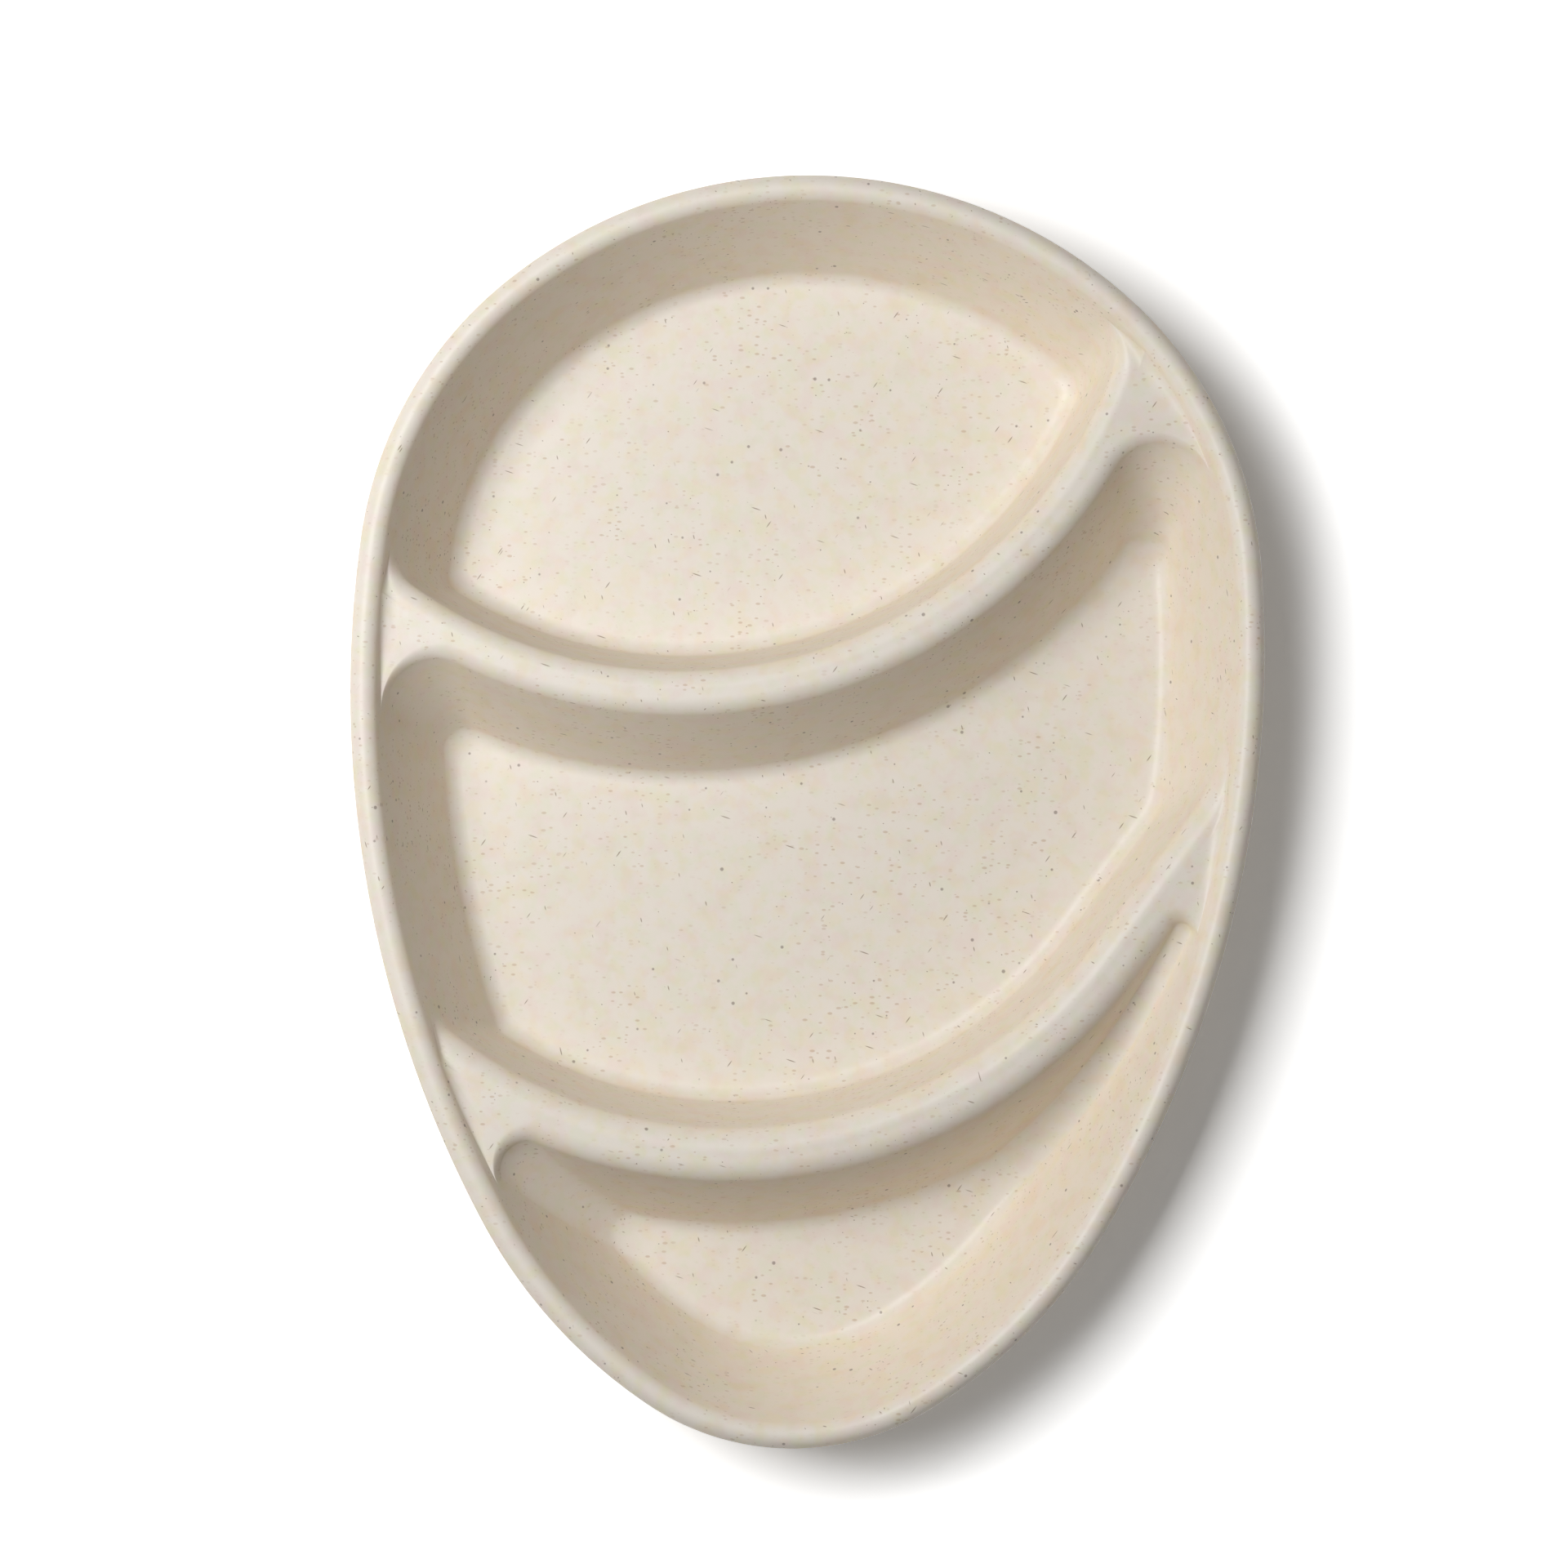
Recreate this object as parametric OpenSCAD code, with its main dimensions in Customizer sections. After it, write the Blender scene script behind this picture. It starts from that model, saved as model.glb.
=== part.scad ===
// Egg-shaped relish tray with three pockets between two curved dividers.
// The real tray is one moulding. It is drawn here as its named regions, which meet face to face:
// the rim bead, the drafted outer wall, three pocket floors, two hollow dividers and the foot ring.
// +Z is up, +Y points to the blunt end, and the foot ring stands on Z = 0 under the outline's middle.

/* [Outline in plan] */
// Length over the rim, from the tip to the blunt end
tray_length = 280; // [264:1:300]
// Radius of the crown, the arc across the blunt end
crown_r = 106; // [98:1:116]
// Half of the angle that the crown spans
crown_angle = 40; // [32:1:48]
// Radius of the shoulders beside the crown
shoulder_r = 88; // [84:1:92]
// Radius of the long sides
side_r = 248; // [220:1:290]
// Radius of the cheeks between the sides and the nose
cheek_r = 112; // [100:1:124]
// Radius of the nose, the arc round the tip
nose_r = 57; // [48:1:66]
// Half of the angle that the nose spans
nose_angle = 32; // [26:1:38]

/* [Wall section] */
// Height from the table to the top of the rim
tray_h = 38; // [34:1:44]
// Thickness of walls, floors and dividers
wall_t = 3.2; // [2.6:0.1:3.8]
// Lean of the outer wall's inner face away from upright
wall_lean = 22; // [16:1:25]
// Radius where a pocket side runs into its floor
floor_fillet_r = 4; // [3:0.5:6]

/* [Rim bead] */
// Width of the rounded bead
rim_w = 6; // [5:0.1:7]
// Height of the bead, from its underside to its top
rim_depth = 7; // [6:0.5:9]
// Radius of the bead's lower outer edge
rim_under_r = 2; // [1:0.1:2.5]

/* [Dividers] */
// How far the crests lie below the rim
crest_drop = 4; // [3:0.5:8]
// Lean of each divider's upper side, the one towards the blunt end
upper_side_lean = 10; // [6:1:16]
// Lean of each divider's lower side, gentle enough to draw a spoon up it
lower_side_lean = 26; // [20:1:29]
// Width of the level strip along each crest
crest_level_w = 2; // [1:0.25:3]
// Radius in plan of the round pocket corners, level with the crests
corner_r = 11; // [9:0.5:13]
// Radius in plan of the corners where a divider's upper side leaves the left wall
open_corner_r = 8; // [6:0.5:10]
// Radius in plan of the lower pocket's sharp left corner
sharp_corner_r = 6; // [4:0.5:8]
// Radius in plan of the tip of the lower pocket's horn
horn_r = 2; // [1:0.25:3]
// Radius in plan of the curve by which the middle pocket runs into its right wall
sweep_r = 33; // [26:1:40]
// Radius in plan of the pocket corners at the floor
corner_floor_r = 5; // [4:0.5:7]
// Radius in plan of that curve at the floor
sweep_floor_r = 15; // [12:1:18]
// Upper divider: width across its rounded crest
upper_crest_w = 10.5; // [9.5:0.5:13]
// Upper divider: radius of its curve
upper_r = 107; // [100:1:114]
// Upper divider: share of the tray's length from the blunt end to the lowest point of its curve
upper_pocket_share = 0.41; // [0.385:0.005:0.435]
// Upper divider: how far its lowest point lies left of the tray's middle line
upper_offset = 31; // [22:1:36]
// Lower divider: width across its rounded crest
lower_crest_w = 12.5; // [10:0.5:14]
// Lower divider: radius of its curve
lower_r = 106; // [98:1:112]
// Lower divider: share of the tray's length from the tip to the lowest point of its curve
lower_pocket_share = 0.227; // [0.207:0.001:0.25]
// Lower divider: how far its lowest point lies left of the tray's middle line
lower_offset = 17; // [10:1:22]
// Lower divider: angle round its curve past which its right end runs straight to the wall
lower_straight_angle = 325; // [318:1:330]

/* [Underside] */
// Height of the foot ring
foot_h = 2; // [1:0.25:3]
// Width of the foot ring
foot_w = 3.5; // [2.5:0.25:5]
// Radius round the mouth of the hollow under each divider
hollow_mouth_r = 3; // [2:0.25:4]
// Distance between the outer wall's face and the ends of each hollow
hollow_end = 6; // [5:0.5:9]

/* [Hidden] */
$fa = 2;
$fs = 0.5;

// Colours of the cream moulding, a shade apart so that its regions can be told from each other
cream = [0.90, 0.86, 0.79];
shaded_cream = [0.84, 0.79, 0.71];
pale_cream = [0.93, 0.90, 0.85];

// Numbers of flats along the curved parts of sections and outlines
fillet_steps = 5;
face_steps = 3;
crest_steps = 4;
bead_steps = 6;
edge_steps = 4;
corner_steps = 6;
flank_steps = 26;
end_steps = 6;
mouth_steps = 3;
roof_steps = 2;
outline_step_angle = 4;
search_steps = 26;

// Angles round a divider's curve: its lowest point, and beyond its left and right ends
lowest_angle = 270;
left_limit_angle = 172;
right_limit_angle = 368;
// Least radius of the rounded roof inside a divider
least_roof_r = 0.3;
// Overrun of a floor's cuts past the outer wall's face
overrun = 1;

floor_z = foot_h + wall_t;
crest_z = tray_h - crest_drop;
rim_r = rim_w / 2;
bead_z = tray_h - rim_depth;
under_r = min(rim_under_r, rim_depth - rim_r);

function polar(a) = [cos(a), sin(a)];
function angle_of(v) = atan2(v.y, v.x);
function arc(c, r, from, to, steps) = [for (i = [0:steps]) c + r * polar(from + (to - from) * i / steps)];

// Outline: each arc's centre follows from the arc before it, so that all of them meet tangent
crown_c = [0, tray_length / 2 - crown_r];
shoulder_c = crown_c + (crown_r - shoulder_r) * polar(90 - crown_angle);
nose_c = [0, nose_r - tray_length / 2];
cheek_c = nose_c - (cheek_r - nose_r) * polar(nose_angle - 90);
side_c = circle_crossing(shoulder_c, side_r - shoulder_r, cheek_c, side_r - cheek_r);
high_join = angle_of(shoulder_c - side_c);
low_join = angle_of(cheek_c - side_c);

// The left one of the two points at distance rp from p and rq from q
function circle_crossing(p, rp, q, rq) =
    let (gap = norm(q - p),
         e = (q - p) / gap,
         a = (rp * rp - rq * rq + gap * gap) / (2 * gap))
    p + a * e + sqrt(rp * rp - a * a) * [e.y, -e.x];

// Each arc is [centre, radius, start angle, end angle], anticlockwise from the nose
nose = [nose_c, nose_r, -90 - nose_angle, -90 + nose_angle];
cheek = [cheek_c, cheek_r, -90 + nose_angle, low_join];
side = [side_c, side_r, low_join, high_join];
shoulder = [shoulder_c, shoulder_r, high_join, 90 - crown_angle];
crown = [crown_c, crown_r, 90 - crown_angle, 90 + crown_angle];
function mirrored(s) = [[-s[0].x, s[0].y], s[1], 180 - s[3], 180 - s[2]];
OUTLINE = [nose, cheek, side, shoulder, crown, mirrored(shoulder), mirrored(side), mirrored(cheek)];

// Centre and radius of the arc that a point p lies over
function arc_over(p) =
    let (q = [abs(p.x), p.y],
         round_side = angle_of(q - side_c),
         s = round_side > high_join ? (angle_of(q - crown_c) > 90 - crown_angle ? crown : shoulder)
           : round_side < low_join ? (angle_of(q - nose_c) < nose_angle - 90 ? nose : cheek)
           : side)
    [[p.x < 0 ? -s[0].x : s[0].x, s[0].y], s[1]];
function depth_in(p) = let (s = arc_over(p)) s[1] - norm(p - s[0]);
function outwards(p) = let (v = p - arc_over(p)[0]) v / norm(v);

// Stations round the outline, each one [centre, radius, angle] of the arc that it lies on
STATIONS = [for (s = OUTLINE)
    let (n = ceil((s[3] - s[2]) / outline_step_angle))
    for (i = [0:n - 1]) [s[0], s[1], s[2] + (s[3] - s[2]) * i / n]];
function station_point(s, inset) = s[0] + (s[1] - inset) * polar(s[2]);
function outline_at(inset) = [for (s = STATIONS) station_point(s, inset)];

// A slope is the section of a pocket's side or a hollow's side: [run at the start of its rounded
// top, radius there, height of the top, lean, height of the base, radius at the base].
function top_c(s) = [s[0], s[2] - s[1]];
function brink(s) = top_c(s) + s[1] * polar(s[3]);
function face_run(s, z) = let (b = brink(s)) b.x + (b.y - z) * tan(s[3]);
function base_run(s) =
    let (b = brink(s)) b.x + (s[5] + (b.y - s[4] - s[5]) * sin(s[3])) / cos(s[3]);
function curve_run(r, rise) = sqrt(max(r * r - rise * rise, 0));

// Run of a slope at any height
function run_at(s, z) =
    z > brink(s).y ? s[0] + curve_run(s[1], z - top_c(s).y)
    : z > s[4] + s[5] * (1 - sin(s[3])) ? face_run(s, z)
    : base_run(s) - curve_run(s[5], s[4] + s[5] - z);

// Points along a slope's base curve as [run, z]
function base_curve(s, extra_r = 0) =
    arc([base_run(s), s[4] + s[5]], s[5] + extra_r, 270, 180 + s[3], fillet_steps);

// Heights along a slope from its base to its top, in as many steps as its three parts have
function heights(s, steps) =
    let (base_y = s[4] + s[5],
         low = base_y - s[5] * sin(s[3]),
         high = brink(s).y)
    concat([for (i = [0:steps[0]]) base_y - s[5] * cos((90 - s[3]) * i / steps[0])],
           [for (i = [1:steps[1]]) low + (high - low) * i / steps[1]],
           [for (i = [1:steps[2]]) top_c(s).y + s[1] * sin(s[3] + (90 - s[3]) * i / steps[2])]);

function reversed(v) = [for (i = [len(v) - 1:-1:0]) v[i]];

// The outer wall's slope, where the run is the inset from the outline
wall_slope = [rim_r, rim_r, tray_h, wall_lean, floor_z, floor_fillet_r];
floor_inset = base_run(wall_slope);
bead_inset = run_at(wall_slope, bead_z);

// A divider is [centre, radius, straight angle, crest width, corners]. Each corner is its plan
// radius at the crest and at the floor: lower left, lower right, upper right, upper left.
round_corner = [corner_r, corner_floor_r];
open_corner = [open_corner_r, corner_floor_r];
upper_low_y = tray_length / 2 - upper_pocket_share * tray_length;
lower_low_y = lower_pocket_share * tray_length - tray_length / 2;
upper = [[-upper_offset, upper_low_y + upper_r], upper_r, right_limit_angle,
         upper_crest_w, [round_corner, round_corner, round_corner, open_corner]];
lower = [[-lower_offset, lower_low_y + lower_r], lower_r, lower_straight_angle,
         lower_crest_w, [[sharp_corner_r, corner_floor_r], [horn_r, corner_floor_r],
                         [sweep_r, sweep_floor_r], open_corner]];

// Point at angle t along a divider's curve, moved off its crest line away from the curve's centre.
// Past the straight angle the curve runs on along its tangent.
function normal_angle(d, t) = min(t, d[2]);
function beside(d, off, t) =
    let (a = normal_angle(d, t))
    d[0] + (d[1] + off) * polar(a) + (t - a) * PI / 180 * d[1] * polar(a + 90);

// Angle t at which that point comes as near to the outline as depth, between two known angles
function reach_angle(d, off, depth, inside, outside, steps = search_steps) =
    let (middle = (inside + outside) / 2)
    steps == 0 ? middle
    : depth_in(beside(d, off, middle)) > depth
        ? reach_angle(d, off, depth, middle, outside, steps - 1)
        : reach_angle(d, off, depth, inside, middle, steps - 1);

// Slope of a divider's lower side (across = 1) or its upper side (across = -1)
function crest_r(d) = (d[3] - crest_level_w) / 2;
function lean(across) = across > 0 ? lower_side_lean : upper_side_lean;
function side_slope(d, across) =
    [crest_level_w / 2, crest_r(d), crest_z, lean(across), floor_z, floor_fillet_r];

// A corner's plan radius at a height: from the floor's to the crest's as the side climbs to its
// brink, and then growing as the crest rounds in
function corner_radius(s, radii, z) =
    let (b = brink(s), climb = min(max(z, floor_z), b.y) - floor_z)
    radii[1] + (radii[0] - radii[1]) * climb / (b.y - floor_z) + max(b.x - run_at(s, max(z, b.y)), 0);

// A pocket corner is an arc in plan, tangent to a divider's side and to the outer wall.
// It is [centre, radius, angle t, the side's direction, turn from the side to the wall].
function corner(d, across, radii, z, limit) =
    let (s = side_slope(d, across),
         r = corner_radius(s, radii, z),
         off = across * (run_at(s, z) + r),
         t = reach_angle(d, off, run_at(wall_slope, z) + r, lowest_angle, limit),
         c = beside(d, off, t),
         from = normal_angle(d, t) + (across > 0 ? 180 : 0),
         turn = angle_of(outwards(c)) - from)
    [c, r, t, from, turn - 360 * round(turn / 360)];
function corner_points(k) = arc(k[0], k[1], k[3], k[3] + k[4], corner_steps);

// Points along the wall's face between the wall ends of two corners, past the first few of them
function wall_between(p, q, inset, first) =
    [for (i = [first:end_steps - first])
        let (m = p + (q - p) * i / end_steps)
        m + (depth_in(m) - inset) * outwards(m)];

function flank_points(d, off, from, to) =
    [for (i = [0:flank_steps]) beside(d, off, from + (to - from) * i / flank_steps)];
function without_first(v) = [for (i = [1:len(v) - 1]) v[i]];

// Plan of a divider at one height, anticlockwise, flared into the wall by its four corners
function divider_ring(d, z, wall_overrun = 0) =
    let (lower_run = run_at(side_slope(d, 1), z),
         upper_run = run_at(side_slope(d, -1), z),
         lower_left = corner(d, 1, d[4][0], z, left_limit_angle),
         lower_right = corner(d, 1, d[4][1], z, right_limit_angle),
         upper_right = corner(d, -1, d[4][2], z, right_limit_angle),
         upper_left = corner(d, -1, d[4][3], z, left_limit_angle),
         a = corner_points(lower_right), b = corner_points(upper_right),
         e = corner_points(upper_left), f = corner_points(lower_left),
         seat = run_at(wall_slope, z) - wall_overrun,
         first = wall_overrun > 0 ? 0 : 1)
    concat(flank_points(d, lower_run, lower_left[2], lower_right[2]),
           without_first(a),
           wall_between(a[corner_steps], b[corner_steps], seat, first),
           reversed(without_first(b)),
           flank_points(d, -upper_run, upper_right[2], upper_left[2]),
           without_first(e),
           wall_between(e[corner_steps], f[corner_steps], seat, first),
           reversed(without_first(f)));

// The hollow under a divider follows both of its sides at the wall's thickness
function hollow_slope(d, across) =
    [crest_level_w / 2, max(crest_r(d) - wall_t, least_roof_r), crest_z - wall_t, lean(across),
     foot_h, hollow_mouth_r];

// Plan of that hollow at one height: a curved slot with round ends, with as many points as the
// ring outside it
function hollow_ring(d, z) =
    let (lower_run = run_at(hollow_slope(d, 1), z),
         upper_run = run_at(hollow_slope(d, -1), z),
         middle = (lower_run - upper_run) / 2,
         half_w = (lower_run + upper_run) / 2,
         depth = run_at(wall_slope, z) + hollow_end + half_w,
         left = reach_angle(d, middle, depth, lowest_angle, left_limit_angle),
         right = reach_angle(d, middle, depth, lowest_angle, right_limit_angle),
         left_a = normal_angle(d, left), right_a = normal_angle(d, right),
         cap_steps = 2 * corner_steps + end_steps)
    concat(flank_points(d, lower_run, left, right),
           [for (i = [1:cap_steps - 1])
               beside(d, middle, right) + half_w * polar(right_a + 180 * i / cap_steps)],
           flank_points(d, -upper_run, right, left),
           [for (i = [1:cap_steps - 1])
               beside(d, middle, left) + half_w * polar(left_a + 180 + 180 * i / cap_steps)]);

// Heights of a divider's outer rings from the underside up, and of its hollow's rings from the
// roof down, which both follow its steeper side
steeper_across = lower_side_lean < upper_side_lean ? 1 : -1;
function outer_heights(d) =
    concat([foot_h], heights(side_slope(d, steeper_across), [fillet_steps, face_steps, crest_steps]));
function hollow_heights(d) =
    reversed(heights(hollow_slope(d, steeper_across), [mouth_steps, 1, roof_steps]));

// Triangles that fill a ring of n points by pairing its two sides, from one end's middle to the other's
function ladder(n, first) =
    [for (i = [0:n / 2 - 1])
        let (a = (first + i) % n, b = (a + 1) % n, e = (first - i + n) % n, f = (e - 1 + n) % n)
        each concat(b == f ? [] : [[a, b, f]], a == e ? [] : [[a, f, e]])];

// Closed skin through a stack of rings with equal numbers of points, capped at both ends
module skin(rings) {
    n = len(rings[0]);
    last = len(rings) - 1;
    left_middle = n - corner_steps - end_steps / 2;
    polyhedron(
        points = [for (ring = rings) for (p = ring) p],
        faces = concat(
            ladder(n, left_middle),
            [for (k = [0:last - 1], i = [0:n - 1])
                let (j = (i + 1) % n)
                each [[k * n + i, (k + 1) * n + i, (k + 1) * n + j],
                      [k * n + i, (k + 1) * n + j, k * n + j]]],
            [for (f = ladder(n, left_middle)) [for (i = [2:-1:0]) last * n + f[i]]]),
        convexity = 6);
}

// Carries a section, listed as [inset, z], round the whole outline and back to its start
module loft_round_outline(section) {
    n = len(STATIONS);
    m = len(section);
    polyhedron(
        points = [for (s = STATIONS) for (p = section)
            let (q = station_point(s, p.x)) [q.x, q.y, p.y]],
        faces = [for (k = [0:n - 1], i = [0:m - 1])
            let (a = k * m, b = (k + 1) % n * m, j = (i + 1) % m)
            each [[a + i, b + i, b + j], [a + i, b + j, a + j]]],
        convexity = 6);
}

// A floor fills the outline inside the outer wall, less both dividers
module floor_slab() {
    translate([0, 0, foot_h]) linear_extrude(wall_t) difference() {
        intersection() {
            polygon(outline_at(floor_inset));
            children();
        }
        for (d = [upper, lower]) polygon(divider_ring(d, floor_z, overrun));
    }
}

// The side of a divider's curve that holds its centre
module inside_curve(d) {
    far = tray_length * polar(d[2]);
    run_on = tray_length * polar(d[2] + 90);
    tangent_end = d[0] + d[1] * polar(d[2]);
    translate(d[0]) circle(d[1]);
    if (d[2] < right_limit_angle)
        polygon([tangent_end, tangent_end + run_on, tangent_end + run_on - far, tangent_end - far]);
}

module divider(d) {
    skin(concat([for (z = hollow_heights(d)) [for (p = hollow_ring(d, z)) [p.x, p.y, z]]],
                [for (z = outer_heights(d)) [for (p = divider_ring(d, z)) [p.x, p.y, z]]]));
}

module rim() {
    color(pale_cream) loft_round_outline(concat(
        [[bead_inset, bead_z]],
        arc([rim_r, tray_h - rim_r], rim_r, wall_lean, 90, bead_steps),
        without_first(arc([rim_r, tray_h - rim_r], rim_r, 90, 180, bead_steps)),
        arc([under_r, bead_z + under_r], under_r, 180, 270, edge_steps)));
}

module outer_wall() {
    color(cream) loft_round_outline(concat(
        base_curve(wall_slope),
        [[bead_inset, bead_z], [bead_inset - wall_t / cos(wall_lean), bead_z]],
        reversed(base_curve(wall_slope, wall_t))));
}

module upper_floor() {
    color(shaded_cream) floor_slab() inside_curve(upper);
}

module middle_floor() {
    color(shaded_cream) floor_slab() difference() {
        inside_curve(lower);
        inside_curve(upper);
    }
}

module lower_floor() {
    color(shaded_cream) floor_slab() difference() {
        square(2 * tray_length, center = true);
        inside_curve(lower);
    }
}

module upper_divider() {
    color(pale_cream) divider(upper);
}

module lower_divider() {
    color(pale_cream) divider(lower);
}

module foot_ring() {
    color(cream) linear_extrude(foot_h) difference() {
        polygon(outline_at(floor_inset));
        polygon(outline_at(floor_inset + foot_w));
    }
}

rim();
outer_wall();
upper_floor();
middle_floor();
lower_floor();
upper_divider();
lower_divider();
foot_ring();
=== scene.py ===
import math

import bmesh
import bpy
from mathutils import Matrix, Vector


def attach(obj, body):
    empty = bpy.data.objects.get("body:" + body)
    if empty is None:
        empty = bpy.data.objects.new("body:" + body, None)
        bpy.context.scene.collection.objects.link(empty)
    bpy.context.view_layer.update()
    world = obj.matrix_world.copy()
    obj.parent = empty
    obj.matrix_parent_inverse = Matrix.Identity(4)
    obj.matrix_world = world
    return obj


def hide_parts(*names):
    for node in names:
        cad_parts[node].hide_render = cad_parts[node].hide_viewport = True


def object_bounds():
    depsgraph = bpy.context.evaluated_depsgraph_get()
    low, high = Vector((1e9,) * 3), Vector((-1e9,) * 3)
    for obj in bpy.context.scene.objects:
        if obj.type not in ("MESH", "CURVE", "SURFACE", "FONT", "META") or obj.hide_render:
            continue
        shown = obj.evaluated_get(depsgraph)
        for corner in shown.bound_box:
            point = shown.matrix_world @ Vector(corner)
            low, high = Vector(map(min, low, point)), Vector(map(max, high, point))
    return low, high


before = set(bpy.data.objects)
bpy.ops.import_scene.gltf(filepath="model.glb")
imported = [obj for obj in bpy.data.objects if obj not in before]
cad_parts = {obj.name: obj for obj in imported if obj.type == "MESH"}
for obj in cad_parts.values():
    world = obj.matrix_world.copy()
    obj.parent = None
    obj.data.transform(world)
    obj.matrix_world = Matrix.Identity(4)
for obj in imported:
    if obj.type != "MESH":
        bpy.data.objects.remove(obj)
cad_low, cad_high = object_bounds()

MM = 0.001
DEGREE = math.pi / 180

# Outline in plan
TRAY_LENGTH = cad_high.y - cad_low.y
CROWN_R = 106 * MM
CROWN_ANGLE = 40 * DEGREE
SHOULDER_R = 88 * MM
SIDE_R = 248 * MM
CHEEK_R = 112 * MM
NOSE_R = 57 * MM
NOSE_ANGLE = 32 * DEGREE
# The CAD's outline runs in chords, inside the true curve by up to this much
CHORD_GAP = 0.13 * MM

# Wall section and rim bead
TRAY_H = cad_high.z - cad_low.z
WALL_T = 3.2 * MM
WALL_LEAN = 22 * DEGREE
FILLET_R = 4 * MM
RIM_R = 3 * MM
RIM_DEPTH = 7 * MM
RIM_UNDER_R = 2 * MM

# Dividers, whose sides are named by where they face. A pocket share is the part of the tray's
# length between an end and the lowest point of a divider's curve, which lies left of the middle
BELOW, ABOVE = 1, -1
SIDE_LEAN = {BELOW: 26 * DEGREE, ABOVE: 10 * DEGREE}
CREST_DROP = 4 * MM
SADDLE_R = 3 * MM
CREST_LEVEL_W = 2 * MM
UPPER_R = 107 * MM
UPPER_CREST_W = 10.5 * MM
UPPER_POCKET_SHARE = 0.41
UPPER_LOWEST = (-31 * MM, (0.5 - UPPER_POCKET_SHARE) * TRAY_LENGTH)
LOWER_R = 106 * MM
LOWER_CREST_W = 12.5 * MM
LOWER_POCKET_SHARE = 0.227
LOWER_LOWEST = (-17 * MM, (LOWER_POCKET_SHARE - 0.5) * TRAY_LENGTH)
LOWER_STRAIGHT_FROM = 325 * DEGREE
LEFT_LIMIT = 172 * DEGREE
LOWEST = 270 * DEGREE
RIGHT_LIMIT = 368 * DEGREE

# Pocket corners, as plan radii at the brink and at the floor
ROUND_CORNER = (11 * MM, 5 * MM)
OPEN_CORNER = (8 * MM, 5 * MM)
SHARP_CORNER = (6 * MM, 5 * MM)
HORN_CORNER = (2 * MM, 5 * MM)
SWEPT_CORNER = (33 * MM, 15 * MM)

# Underside
FOOT_H = 2 * MM
FOOT_W = 3.5 * MM
FOOT_EDGE_R = 0.6 * MM
HOLLOW_MOUTH_R = 3 * MM
HOLLOW_END = 6 * MM

# Mesh steps along the curved parts of the sections
FILLET_STEPS = 7
FACE_STEPS = 6
ROLL_STEPS = 10
BEAD_STEPS = 18
EDGE_STEPS = 5
OUTER_STEPS = 8
HOLLOW_STEPS = 4
WEB_STEPS = 7
RISE_STEPS = 3
CREST_STATIONS = 168
HOLLOW_STATIONS = 90
HOLLOW_CAP_STEPS = 12
LENS_ROWS = 8
WALL_PITCH = 1.5 * MM
SEARCH_STEPS = 40
SIDE_WALL_LENGTH = 70 * MM
MERGE_GAP = MM / 1000

# Light: a large soft lamp, high on the left, in an even room, each with its share of the exposure
LAMP_PLACE = Vector((-0.27, 0.12, 0.6))
LAMP_SIZE = 0.34
LAMP_SHARE = 0.89
ROOM_SHARE = 0.135
GROUND_WHITE = 1

# Camera
SENSOR = 36
CAMERA_DISTANCE = 800 * MM
VIEW_WIDTH = 343.2 * MM
VIEW_CENTRE = (-4.44 * MM, 6.03 * MM)
CAMERA_ROLL = 0.029

# Colours of the moulding: its cream on slopes, a greyer tone where it is level that is a painted
# sheen standing in for overhead light reflected in the satin, and the colours of what is pressed
# into it
CREAM = (0.775, 0.69, 0.585, 1)
# Painted sheen: the greyer tone mixed in where the surface faces up, in place of reflected
# overhead light
SHEEN_PAINT_TONE = (0.62, 0.59, 0.55, 1)
SHEEN_PAINT_START = 0.3
SHEEN_PAINT_STRENGTH = 0.6
RUST = (0.41, 0.27, 0.16, 1)
FIBRE = (0.23, 0.17, 0.12, 1)
SPECK = (0.17, 0.13, 0.11, 1)
FIBRE_STRENGTH = 0.75
SPECK_STRENGTH = 0.66

# Mottling: grain and tint of each layer, and the noise values between which they set in
MOTTLES = (
    (5.2 * MM, (1, 0.95, 0.965, 1)),
    (3.7 * MM, (0.965, 1, 0.94, 1)),
    (4.4 * MM, (1, 0.985, 0.905, 1)),
)
MOTTLE_START, MOTTLE_FULL = 0.46, 0.66

# Specks: pitch of the field of points, largest radius, share of the points that hold one
RUST_SPECKS = (0.95 * MM, 0.34 * MM, 0.8)
DARK_SPECKS = (3.6 * MM, 0.47 * MM, 0.6)
SPECK_EDGE = (1.15, 0.6)
SMALLEST_SPECK = 0.05
# Rust specks are drawn out sideways, and are stronger in clusters
RUST_STRETCH = (0.5, 1, 1)
LOOSE_RUST = 0.08
CLUSTERED_RUST = 0.4
CLUSTER_GRAIN = 16 * MM
CLUSTER_START, CLUSTER_FULL = 0.4, 0.66

# Fibres: cells per metre along, across and across, reach within a cell, share of the cells
FIBRE_STRETCH = (125, 1050, 1050)
FIBRE_REACH = 0.18
FIBRE_SHARE = 0.055
FIBRE_TURNS = ((0, 0, 0.3), (0.2, 0.1, 1.3), (0.1, 0.3, 2.2), (0.9, 0.4, 0.9))

# Satin surface
BUMP_GRAIN = 0.9 * MM
BUMP_HEIGHT = 0.03 * MM
BUMP_STRENGTH = 0.5
GLOSS_GRAIN = 3 * MM
ROUGHNESS = 0.46
ROUGHNESS_SPREAD = 0.12
SPECULAR = 0.35
COAT = 0.08
COAT_ROUGHNESS = 0.2

# Ground as it lights the tray
GROUND_COLOUR = (0.9, 0.9, 0.9, 1)
GROUND_REACH = 4

FLOOR_Z = FOOT_H + WALL_T
CREST_Z = TRAY_H - CREST_DROP
BEAD_Z = TRAY_H - RIM_DEPTH


def polar(angle):
    return Vector((math.cos(angle), math.sin(angle)))


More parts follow.
